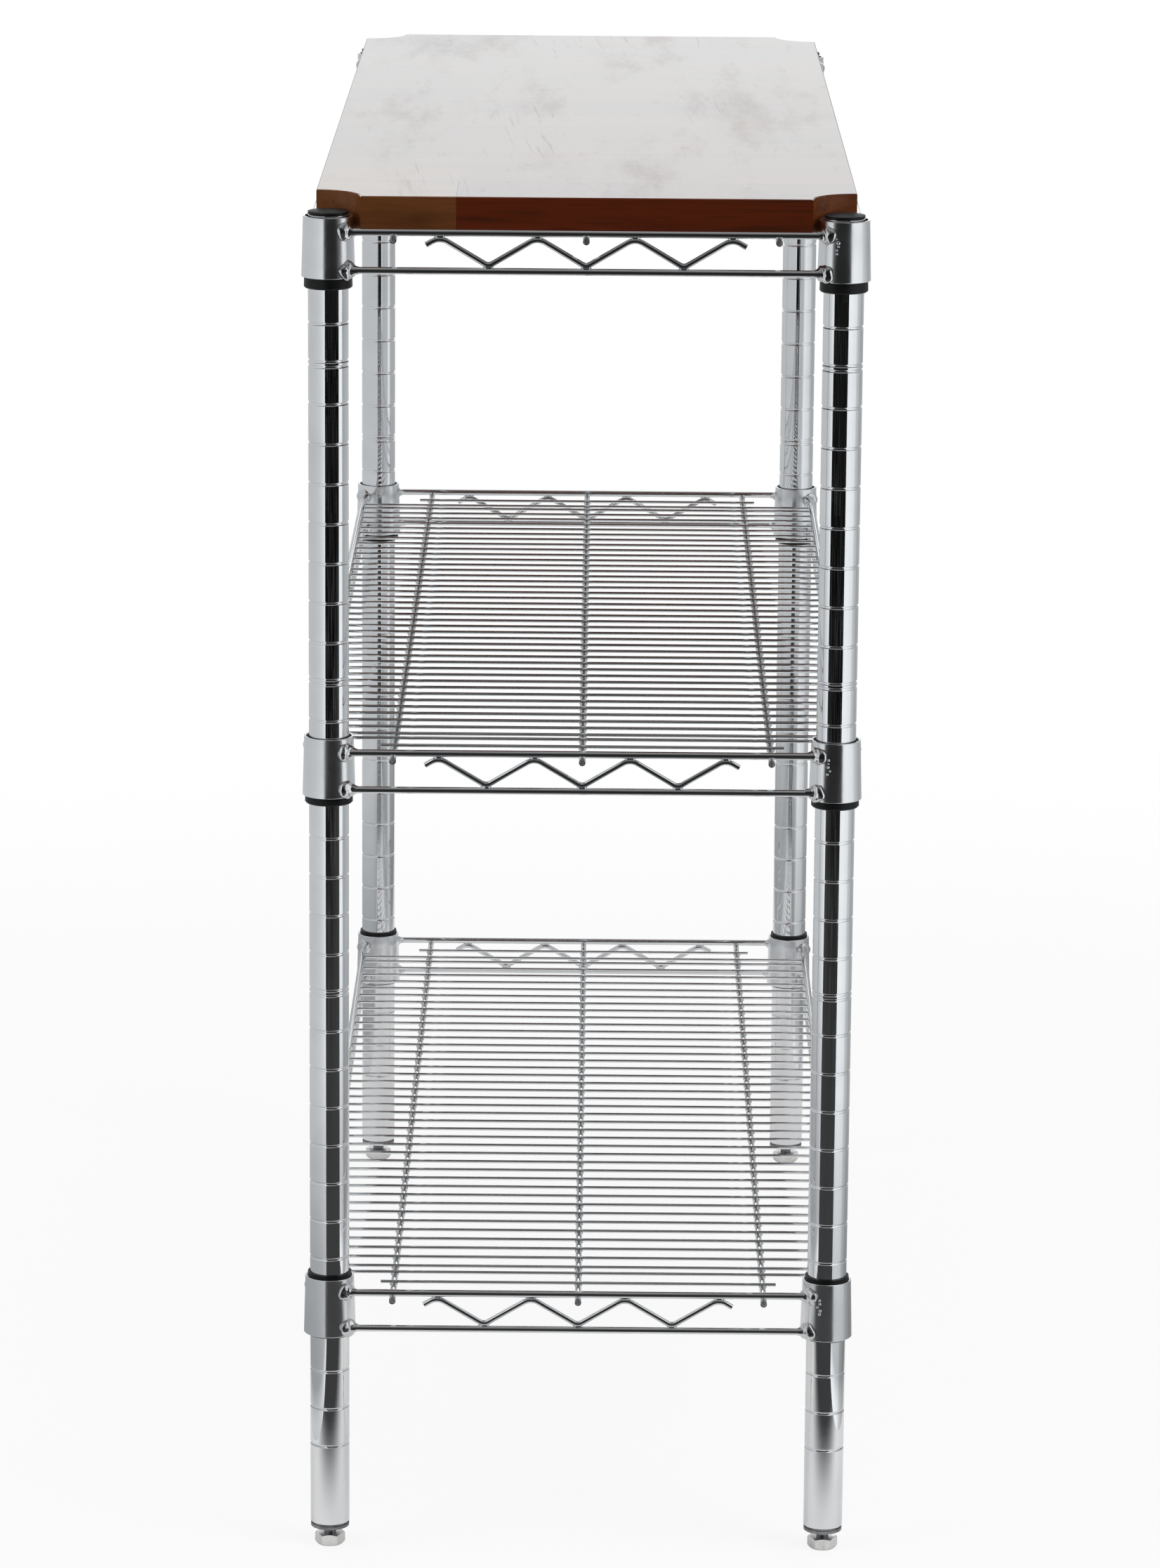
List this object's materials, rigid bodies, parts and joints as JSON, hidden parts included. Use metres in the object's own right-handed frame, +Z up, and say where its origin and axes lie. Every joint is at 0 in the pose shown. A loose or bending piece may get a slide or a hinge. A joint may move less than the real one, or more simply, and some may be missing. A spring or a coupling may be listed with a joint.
{
  "type": "wire-shelf kitchen island",
  "caption": "Stationary kitchen island of welded chrome wire shelves on grooved posts with levelling feet, and a loose dark wooden worktop notched round the posts.",
  "frame": {"origin": "centre of the footprint on the floor, under the levelling feet", "axes": "+X across the table, +Y along its length away from the pictured end, +Z up"},
  "size_m": [0.3556, 0.9156, 0.8866],
  "materials": {
    "chrome": "bright chrome plate on steel wire and tube",
    "black_plastic": "moulded black plastic, satin",
    "zinc": "bright zinc plate on steel",
    "wood": "dark red-brown stained staves under gloss lacquer"
  },
  "bodies": {
    "frame": {"front_left_post": "chrome", "front_left_post_cap": "black_plastic", "front_left_tapped_plug": "zinc", "front_right_post": "chrome", "front_right_post_cap": "black_plastic", "front_right_tapped_plug": "zinc", "lower_shelf_front_left_sleeve": "black_plastic", "lower_shelf_front_right_sleeve": "black_plastic", "lower_shelf_rear_left_sleeve": "black_plastic", "lower_shelf_rear_right_sleeve": "black_plastic", "middle_shelf_front_left_sleeve": "black_plastic", "middle_shelf_front_right_sleeve": "black_plastic", "middle_shelf_rear_left_sleeve": "black_plastic", "middle_shelf_rear_right_sleeve": "black_plastic", "rear_left_post": "chrome", "rear_left_post_cap": "black_plastic", "rear_left_tapped_plug": "zinc", "rear_right_post": "chrome", "rear_right_post_cap": "black_plastic", "rear_right_tapped_plug": "zinc", "top_shelf_front_left_sleeve": "black_plastic", "top_shelf_front_right_sleeve": "black_plastic", "top_shelf_rear_left_sleeve": "black_plastic", "top_shelf_rear_right_sleeve": "black_plastic"},
    "lower_shelf": {"lower_shelf_cross_wires": "chrome", "lower_shelf_front_left_collar": "chrome", "lower_shelf_front_right_collar": "chrome", "lower_shelf_rear_left_collar": "chrome", "lower_shelf_rear_right_collar": "chrome", "lower_shelf_rods": "chrome", "lower_shelf_support_wires": "chrome", "lower_shelf_zigzags": "chrome"},
    "middle_shelf": {"middle_shelf_cross_wires": "chrome", "middle_shelf_front_left_collar": "chrome", "middle_shelf_front_right_collar": "chrome", "middle_shelf_rear_left_collar": "chrome", "middle_shelf_rear_right_collar": "chrome", "middle_shelf_rods": "chrome", "middle_shelf_support_wires": "chrome", "middle_shelf_zigzags": "chrome"},
    "top_shelf": {"top_shelf_cross_wires": "chrome", "top_shelf_front_left_collar": "chrome", "top_shelf_front_right_collar": "chrome", "top_shelf_rear_left_collar": "chrome", "top_shelf_rear_right_collar": "chrome", "top_shelf_rods": "chrome", "top_shelf_support_wires": "chrome", "top_shelf_zigzags": "chrome"},
    "board": {"board_end_staves": "wood", "board_middle_staves": "wood"},
    "front_left_stud": {"front_left_foot_stud": "zinc"},
    "front_left_glide": {"front_left_foot_glide": "zinc"},
    "front_right_stud": {"front_right_foot_stud": "zinc"},
    "front_right_glide": {"front_right_foot_glide": "zinc"},
    "rear_left_stud": {"rear_left_foot_stud": "zinc"},
    "rear_left_glide": {"rear_left_foot_glide": "zinc"},
    "rear_right_stud": {"rear_right_foot_stud": "zinc"},
    "rear_right_glide": {"rear_right_foot_glide": "zinc"}
  },
  "joints": [
    {"name": "lower_shelf_lift", "type": "slide", "parent": "frame", "child": "lower_shelf", "axis": [0, 0, 1], "range_m": [0, 0.3]},
    {"name": "middle_shelf_lift", "type": "slide", "parent": "frame", "child": "middle_shelf", "axis": [0, 0, 1], "range_m": [0, 0.27]},
    {"name": "top_shelf_lift", "type": "slide", "parent": "frame", "child": "top_shelf", "axis": [0, 0, 1], "range_m": [0, 0.12]},
    {"name": "board_lift", "type": "slide", "parent": "top_shelf", "child": "board", "axis": [0, 0, 1], "range_m": [0, 0.12]},
    {"name": "front_left_foot_screw", "type": "slide", "parent": "frame", "child": "front_left_stud", "axis": [0, 0, 1], "range_m": [-0.018, 0.004]},
    {"name": "front_left_foot_turn", "type": "hinge", "parent": "front_left_stud", "child": "front_left_glide", "pos_m": [-0.161, -0.441, 0], "axis": [0, 0, 1], "range_deg": [-4087, 913]},
    {"name": "front_right_foot_screw", "type": "slide", "parent": "frame", "child": "front_right_stud", "axis": [0, 0, 1], "range_m": [-0.018, 0.004]},
    {"name": "front_right_foot_turn", "type": "hinge", "parent": "front_right_stud", "child": "front_right_glide", "pos_m": [0.161, -0.441, 0], "axis": [0, 0, 1], "range_deg": [-4087, 913]},
    {"name": "rear_left_foot_screw", "type": "slide", "parent": "frame", "child": "rear_left_stud", "axis": [0, 0, 1], "range_m": [-0.018, 0.004]},
    {"name": "rear_left_foot_turn", "type": "hinge", "parent": "rear_left_stud", "child": "rear_left_glide", "pos_m": [-0.161, 0.441, 0], "axis": [0, 0, 1], "range_deg": [-4087, 913]},
    {"name": "rear_right_foot_screw", "type": "slide", "parent": "frame", "child": "rear_right_stud", "axis": [0, 0, 1], "range_m": [-0.018, 0.004]},
    {"name": "rear_right_foot_turn", "type": "hinge", "parent": "rear_right_stud", "child": "rear_right_glide", "pos_m": [0.161, 0.441, 0], "axis": [0, 0, 1], "range_deg": [-4087, 913]}
  ],
  "couplings": [
    {"joint": "front_left_foot_turn", "follows": "front_left_foot_screw", "rad_per_m": 3957.9},
    {"joint": "front_right_foot_turn", "follows": "front_right_foot_screw", "rad_per_m": 3957.9},
    {"joint": "rear_left_foot_turn", "follows": "rear_left_foot_screw", "rad_per_m": 3957.9},
    {"joint": "rear_right_foot_turn", "follows": "rear_right_foot_screw", "rad_per_m": 3957.9}
  ]
}
